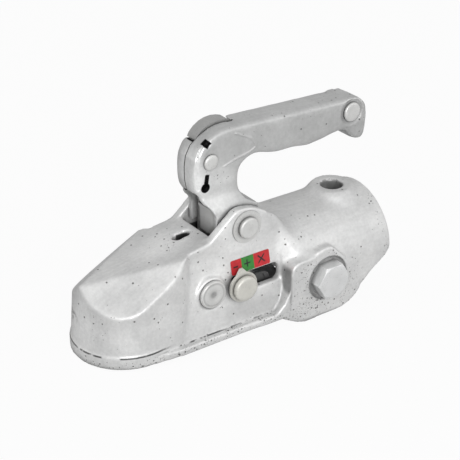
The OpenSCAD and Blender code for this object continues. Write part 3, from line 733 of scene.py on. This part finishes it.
def makeLegSheet():
    build = bmesh.new()
    ring = [build.verts.new((x * mm, y * mm, legSheet["low"] * mm)) for y, x in legSheet["plan"]]
    edges = [build.edges.new(pair) for pair in zip(ring, ring[1:])]
    height, shift = legSheet["low"], 0.0
    for z, x in legSheet["high"]:
        grown = bmesh.ops.extrude_edge_only(build, edges=edges)["geom"]
        moved = [item for item in grown if isinstance(item, bmesh.types.BMVert)]
        edges = [item for item in grown if isinstance(item, bmesh.types.BMEdge)]
        bmesh.ops.translate(build, verts=moved, vec=((x - shift) * mm, 0, (z - height) * mm))
        height, shift = z, x
    bmesh.ops.recalc_face_normals(build, faces=build.faces)
    bmesh.ops.solidify(build, geom=build.faces, thickness=legSheet["thick"] * mm)
    roundEdges(build, legSheet["sharper"], legSheet["bevel"])
    bmesh.ops.recalc_face_normals(build, faces=build.faces)
    addPiece(build, "legSheet", "handle", plateZinc, 35)


# a piece of the scene's own: at the origin, smooth but for edges sharper than the angle
def addPiece(build, name, body, material, angle=180):
    mesh = bpy.data.meshes.new(name)
    build.to_mesh(mesh)
    build.free()
    mesh.shade_smooth()
    if angle < 180:
        mesh.set_sharp_from_angle(angle=math.radians(angle))
    mesh.materials.append(material)
    piece = bpy.data.objects.new(name, mesh)
    scene.collection.objects.link(piece)
    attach(piece, body)
    return piece


makeLegSheet()


# the slider's flat tongue, seen through the wear slot behind the indicator pin, made near black as painted
# shade inside the slot
tongue = {
    "outline": [(60.0, -6.0), (87.6, -6.0), (91.2, -4.8), (93.6, -2.0), (94.2, 1.2), (93.0, 4.4),
                (90.0, 6.4), (85.6, 6.8), (60.0, 6.8)],
    "near": -21.4, "far": -19.2, "rim": 1.5, "sink": 0.8, "sharper": 0.5, "bevel": 0.35,
}


def makeTongue():
    build = bmesh.new()
    addPlate(build, tongue["outline"], tongue["near"], tongue["far"])
    bmesh.ops.recalc_face_normals(build, faces=build.faces)
    front = [item for item in build.faces if item.normal.y < -0.9]
    inner = bmesh.ops.inset_region(build, faces=front, thickness=tongue["rim"] * mm)["faces"]
    front = [item for item in build.faces if item.normal.y < -0.9 and item not in inner]
    sunk = {vert for item in front for vert in item.verts}
    bmesh.ops.translate(build, verts=list(sunk), vec=(0, tongue["sink"] * mm, 0))
    roundEdges(build, tongue["sharper"], tongue["bevel"])
    addPiece(build, "slideTongue", "slide_block", tongueShadeSteel, 35)


makeTongue()
print("inner sheet and tongue made")


# rivets and the indicator pin: turned profiles with rolled rims, given as radius, Y and painted shade (dark
# under the heads, along the shafts and in the jaw rivet's dimple)
turnedPieces = [
    {"name": "pivotRivetTurned", "node": "pivot_rivet", "body": "shell", "slot": "zinc",
     "at": (75.8, 42.4), "mirror": True, "material": rivetZinc,
     "profile": [(0, 25.2, 0.05), (3.6, 25.25, 0), (5.4, 25.5, 0), (6.2, 25.45, 0), (6.75, 25.0, 0),
                 (6.9, 24.4, 0.25), (6.9, 22.9, 0.45), (6.6, 22.5, 0.8), (5.0, 22.4, 0.8)]},
    {"name": "jawRivetTurned", "node": "jaw_rivet", "body": "shell", "slot": "zinc",
     "at": (46.0, 8.0), "mirror": True, "material": rivetZinc,
     "profile": [(0, 29.15, 0.5), (1.5, 29.2, 0.45), (2.7, 29.5, 0.12), (4.4, 29.75, 0), (6.4, 29.85, 0),
                 (7.1, 29.6, 0.22), (7.6, 29.6, 0.22), (8.1, 29.85, 0), (8.7, 29.5, 0), (9.1, 28.8, 0.05),
                 (9.2, 27.9, 0.4), (8.9, 27.4, 0.8), (8.2, 27.32, 0.8), (5.0, 27.3, 0.8)]},
    {"name": "frontRivetTurned", "node": "handle_front_rivet", "body": "handle", "slot": "zinc",
     "at": (57.3, 85.9), "mirror": True, "material": rivetZinc,
     "profile": [(0, 12.3, 0), (3.0, 12.25, 0), (4.3, 12.0, 0), (4.9, 11.5, 0.08), (5.1, 11.0, 0.3),
                 (4.9, 10.55, 0.7), (3.2, 10.5, 0.7)]},
    {"name": "endRivetTurned", "node": "handle_end_rivet", "body": "handle", "slot": "zinc",
     "at": (165.8, 91.8), "mirror": True, "material": rivetZinc,
     "profile": [(0, 11.2, 0), (2.6, 11.3, 0), (4.6, 11.5, 0), (5.6, 11.35, 0), (6.2, 10.9, 0.1),
                 (6.5, 10.2, 0.45), (6.4, 9.7, 0.75), (6.1, 9.52, 0.8), (3.2, 9.5, 0.8)]},
    {"name": "indicatorPinTurned", "node": "indicator_pin", "body": "slide_block", "slot": "pin",
     "at": (67.2, 7.2), "mirror": False, "material": pinZinc,
     "profile": [(0, -34.9, 0), (5.6, -34.95, 0), (7.1, -34.8, 0), (7.9, -34.3, 0), (8.2, -33.5, 0.02),
                 (8.2, -32.2, 0.12), (8.15, -31.6, 0.3), (7.8, -31.2, 0.75), (7.3, -31.0, 0.85),
                 (5.2, -30.9, 0.85), (5.2, -17.5, 0.6), (4.0, -17.5, 0.6), (4.0, 11.4, 0.4),
                 (0, 11.5, 0.4)]},
]


turnSteps = 64


def turnProfile(item):
    x, z = item["at"]
    profile = item["profile"]
    if item["mirror"]:
        profile = [(radius, -y, dark) for radius, y, dark in profile] + profile[::-1]
    build = bmesh.new()
    ring = [build.verts.new(((x + radius) * mm, y * mm, z * mm)) for radius, y, dark in profile]
    edges = [build.edges.new(pair) for pair in zip(ring, ring[1:])]
    bmesh.ops.spin(
        build, geom=ring + edges, cent=(x * mm, 0, z * mm), axis=(0, 1, 0), dvec=(0, 0, 0),
        angle=math.tau, steps=turnSteps, use_merge=True, use_duplicate=False)
    bmesh.ops.remove_doubles(build, verts=build.verts, dist=0.002 * mm)
    bmesh.ops.recalc_face_normals(build, faces=build.faces)
    paintedShade = build.verts.layers.float.new("paintedShade")
    for vert in build.verts:
        radius = math.hypot(vert.co.x / mm - x, vert.co.z / mm - z)
        vert[paintedShade] = min(profile, key=lambda p: abs(p[0] - radius) + abs(p[1] - vert.co.y / mm))[2]
    piece = addPiece(build, item["name"], item["body"], item["material"])
    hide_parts(item["node"])


for item in turnedPieces:
    turnProfile(item)
print("rivets turned")


# pale floor under the flange and the plateaus, and soft studio light
stageSettings = {
    "floorTone": 0.48, "floorWhite": 0.95, "floorRough": 0.9, "floorSize": 4.0,
    "floorFront": (-34.0, 0.0, -22.5), "floorRear": (111.1, 0.0, -31.0),
    "sky": [(0.0, 0.42), (0.48, 0.64), (0.56, 0.96), (0.75, 0.82), (1.0, 0.90)],
    "side": (-0.5, -0.8, 0.25), "sideLow": 0.74, "sideHigh": 1.24, "skyStrength": 0.82,
    "keyPlace": (-0.55, -1.45, 0.62), "keySize": 0.8, "keyPower": 16.5,
    "fillPlace": (1.0, -1.1, 0.7), "fillSize": 1.2, "fillPower": 2.0,
    "aim": (0.07, 0.0, 0.02),
}


def addStage():
    front, rear = (Vector(stageSettings[end]) for end in ("floorFront", "floorRear"))
    slope = math.atan2(rear.z - front.z, rear.x - front.x)
    build = bmesh.new()
    bmesh.ops.create_grid(build, x_segments=1, y_segments=1, size=stageSettings["floorSize"])
    bmesh.ops.rotate(
        build, verts=build.verts, cent=(0, 0, 0), matrix=Matrix.Rotation(-slope, 3, "Y"))
    bmesh.ops.translate(build, verts=build.verts, vec=front * mm)
    mesh = bpy.data.meshes.new("floor")
    build.to_mesh(mesh)
    build.free()
    floor = bpy.data.objects.new("floor", mesh)
    scene.collection.objects.link(floor)
    material = bpy.data.materials.new("floorPaper")
    material.use_nodes = True
    nodes = material.node_tree.nodes
    links = material.node_tree.links
    shader = nodes["Principled BSDF"]
    shader.inputs["Base Color"].default_value = grey(stageSettings["floorTone"])
    shader.inputs["Roughness"].default_value = stageSettings["floorRough"]
    white = nodes.new("ShaderNodeEmission")
    rays = nodes.new("ShaderNodeLightPath")
    seen = nodes.new("ShaderNodeMath")
    seen.operation = "MULTIPLY"
    seen.inputs[1].default_value = stageSettings["floorWhite"]
    choose = nodes.new("ShaderNodeMixShader")
    links.new(rays.outputs["Is Camera Ray"], seen.inputs[0])
    links.new(seen.outputs[0], choose.inputs[0])
    links.new(shader.outputs[0], choose.inputs[1])
    links.new(white.outputs[0], choose.inputs[2])
    links.new(choose.outputs[0], nodes["Material Output"].inputs["Surface"])
    mesh.materials.append(material)


def addLamp(kind):
    data = bpy.data.lights.new(kind + "Lamp", "AREA")
    data.shape = "SQUARE"
    data.size = stageSettings[kind + "Size"]
    data.energy = stageSettings[kind + "Power"]
    lamp = bpy.data.objects.new(kind + "Lamp", data)
    scene.collection.objects.link(lamp)
    place = Vector(stageSettings[kind + "Place"])
    turn = (Vector(stageSettings["aim"]) - place).to_track_quat("-Z", "Y").to_matrix().to_4x4()
    lamp.matrix_world = Matrix.Translation(place) @ turn


# the room: brightest at eye level, greyer overhead, and white where the camera sees it
def addWorld():
    world = bpy.data.worlds.new("studio")
    scene.world = world
    world.use_nodes = True
    nodes = world.node_tree.nodes
    links = world.node_tree.links
    coords = nodes.new("ShaderNodeTexCoord")
    split = nodes.new("ShaderNodeSeparateXYZ")
    half = nodes.new("ShaderNodeMapRange")
    half.inputs["From Min"].default_value = -1.0
    sky = nodes.new("ShaderNodeValToRGB")
    setStops(sky.color_ramp, stageSettings["sky"])
    soft = nodes["Background"]
    soft.inputs["Strength"].default_value = stageSettings["skyStrength"]
    links.new(coords.outputs["Generated"], split.inputs[0])
    links.new(split.outputs["Z"], half.inputs["Value"])
    links.new(half.outputs["Result"], sky.inputs["Fac"])
    # the window side of the room is the brighter one
    facing = nodes.new("ShaderNodeVectorMath")
    facing.operation = "DOT_PRODUCT"
    facing.inputs[1].default_value = Vector(stageSettings["side"]).normalized()
    level = nodes.new("ShaderNodeMapRange")
    for name, number in (("From Min", -1.0), ("To Min", stageSettings["sideLow"]),
                         ("To Max", stageSettings["sideHigh"])):
        level.inputs[name].default_value = number
    room = nodes.new("ShaderNodeMix")
    room.data_type = "RGBA"
    room.blend_type = "MULTIPLY"
    room.inputs[0].default_value = 1.0
    links.new(coords.outputs["Generated"], facing.inputs[0])
    links.new(facing.outputs["Value"], level.inputs["Value"])
    links.new(sky.outputs["Color"], room.inputs[6])
    links.new(level.outputs["Result"], room.inputs[7])
    links.new(room.outputs[2], soft.inputs["Color"])
    white = nodes.new("ShaderNodeBackground")
    white.inputs["Color"].default_value = grey(1.0)
    white.inputs["Strength"].default_value = 1.0
    rays = nodes.new("ShaderNodeLightPath")
    choose = nodes.new("ShaderNodeMixShader")
    links.new(rays.outputs["Is Camera Ray"], choose.inputs[0])
    links.new(soft.outputs[0], choose.inputs[1])
    links.new(white.outputs[0], choose.inputs[2])
    links.new(choose.outputs[0], nodes["World Output"].inputs["Surface"])


addStage()
addLamp("key")
addLamp("fill")
addWorld()
print("stage and light set")
